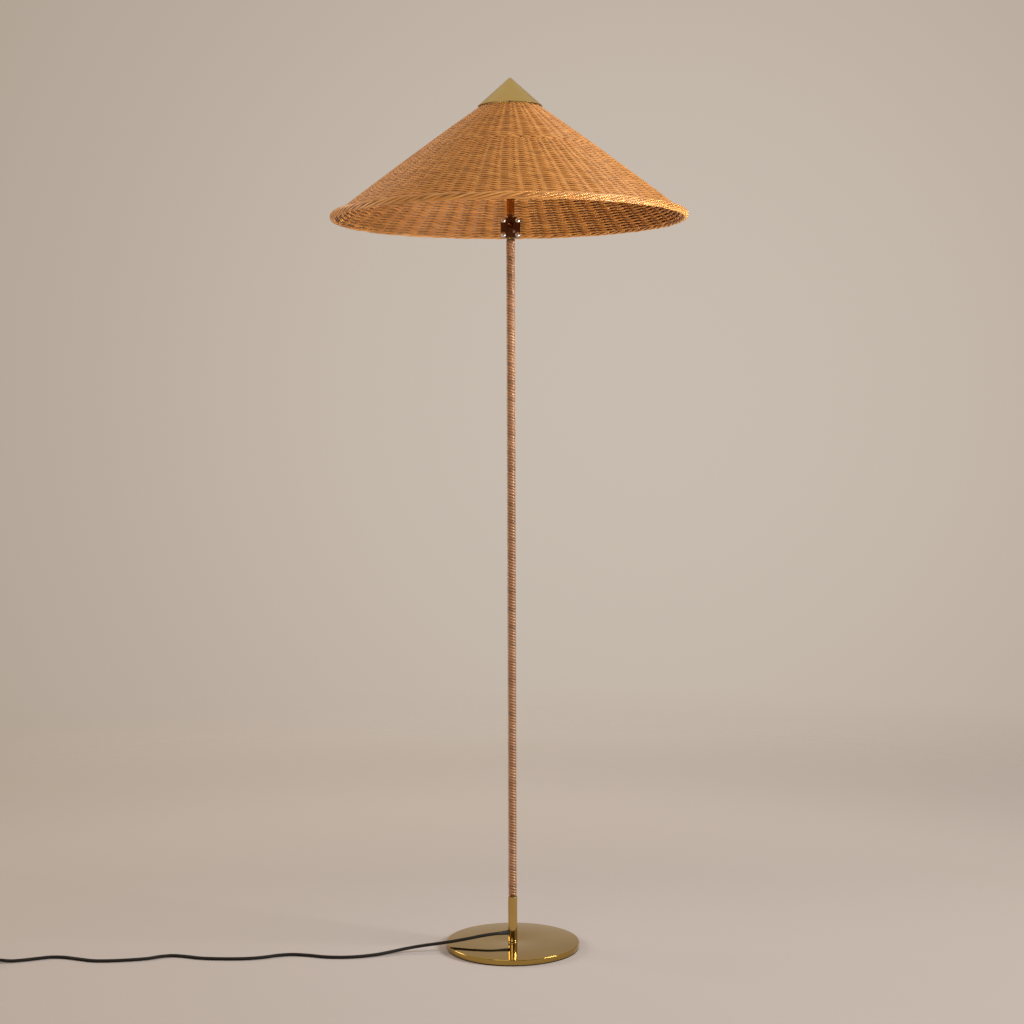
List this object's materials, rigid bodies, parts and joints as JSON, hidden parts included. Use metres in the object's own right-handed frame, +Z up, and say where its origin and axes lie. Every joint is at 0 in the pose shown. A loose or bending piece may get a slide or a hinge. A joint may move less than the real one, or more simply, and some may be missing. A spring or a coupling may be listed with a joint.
{
  "type": "floor lamp",
  "caption": "Floor lamp with a round brass foot, cane-wound stem, swivel and tilt clamp pivot, conical woven rattan shade with a brass cap, and a black mains cord with a foot switch.",
  "frame": {"origin": "middle of the foot's disc, on the floor", "axes": "+Z up along the stem; -Y is the front, the side with the clamp's screw heads; +X to the right seen from the front; the cord leaves towards -X"},
  "size_m": [1.3325, 0.6054, 1.4999],
  "materials": {
    "brass_base": "polished, mirror bright",
    "brass_cap": "satin, lightly brushed",
    "dark_brass": "dark bronzed, polished",
    "steel": "plain machined",
    "bright_steel": "bright nickel",
    "cane": "split cane, varnished",
    "rattan": "woven rattan, satin",
    "felt": "felt",
    "cord_fabric": "fine black braid",
    "gland_rubber": "matte",
    "black_plastic": "fine satin moulded",
    "porcelain": "glazed white",
    "bulb_metal": "bright",
    "bulb_glass": "opal"
  },
  "bodies": {
    "stand": {"base_pad": "felt", "base_disc": "brass_base", "base_washer": "steel", "base_bolt": "steel", "foot_plug": "steel", "foot_tube": "brass_base", "cord_gland": "gland_rubber", "stem_core": "steel", "stem_cane_winding": "cane", "swivel_spigot": "brass_base", "stem_flex": "cord_fabric", "cord_lead": "cord_fabric", "switch_base": "black_plastic", "switch_cover": "black_plastic", "cord_tail": "cord_fabric", "cord_coil": "cord_fabric", "cord_end": "cord_fabric", "plug_body": "black_plastic", "plug_pin_front": "bright_steel", "plug_pin_rear": "bright_steel"},
    "clamp_head": {"clamp_jaw_front": "dark_brass", "clamp_jaw_rear": "dark_brass", "clamp_screw_lower_left": "bright_steel", "clamp_screw_lower_right": "bright_steel", "clamp_screw_upper_left": "bright_steel", "clamp_screw_upper_right": "bright_steel", "clamp_nut_lower_left": "bright_steel", "clamp_nut_lower_right": "bright_steel", "clamp_nut_upper_left": "bright_steel", "clamp_nut_upper_right": "bright_steel", "retaining_screw": "bright_steel"},
    "shade_head": {"pivot_ball": "bright_steel", "head_flex": "cord_fabric", "upper_tube": "brass_base", "holder_nipple": "steel", "nipple_nut": "steel", "holder_cup": "brass_base", "holder_insulator": "porcelain", "thread_shell": "brass_base", "centre_contact": "brass_base", "holder_skirt": "brass_base", "shade_ring_nut": "brass_base", "bulb_cap": "bulb_metal", "bulb_globe": "bulb_glass", "shade_carrier": "bright_steel", "rattan_shade": "rattan", "rattan_border": "rattan", "shade_cap": "brass_cap", "cap_stud": "steel", "cap_nut": "steel"},
    "switch_button": {"foot_button": "black_plastic"}
  },
  "joints": [
    {"name": "head_swivel", "type": "hinge", "parent": "stand", "child": "clamp_head", "pos_m": [0, 0, 1.24], "axis": [0, 0, 1], "range_deg": [-165, 165]},
    {"name": "shade_tilt", "type": "hinge", "parent": "clamp_head", "child": "shade_head", "pos_m": [0, 0, 1.2488], "axis": [0, 1, 0], "range_deg": [-18, 18]},
    {"name": "button_press", "type": "slide", "parent": "stand", "child": "switch_button", "axis": [0, 0, -1], "range_m": [0, 0.003], "stiffness_N_per_m": 900}
  ]
}
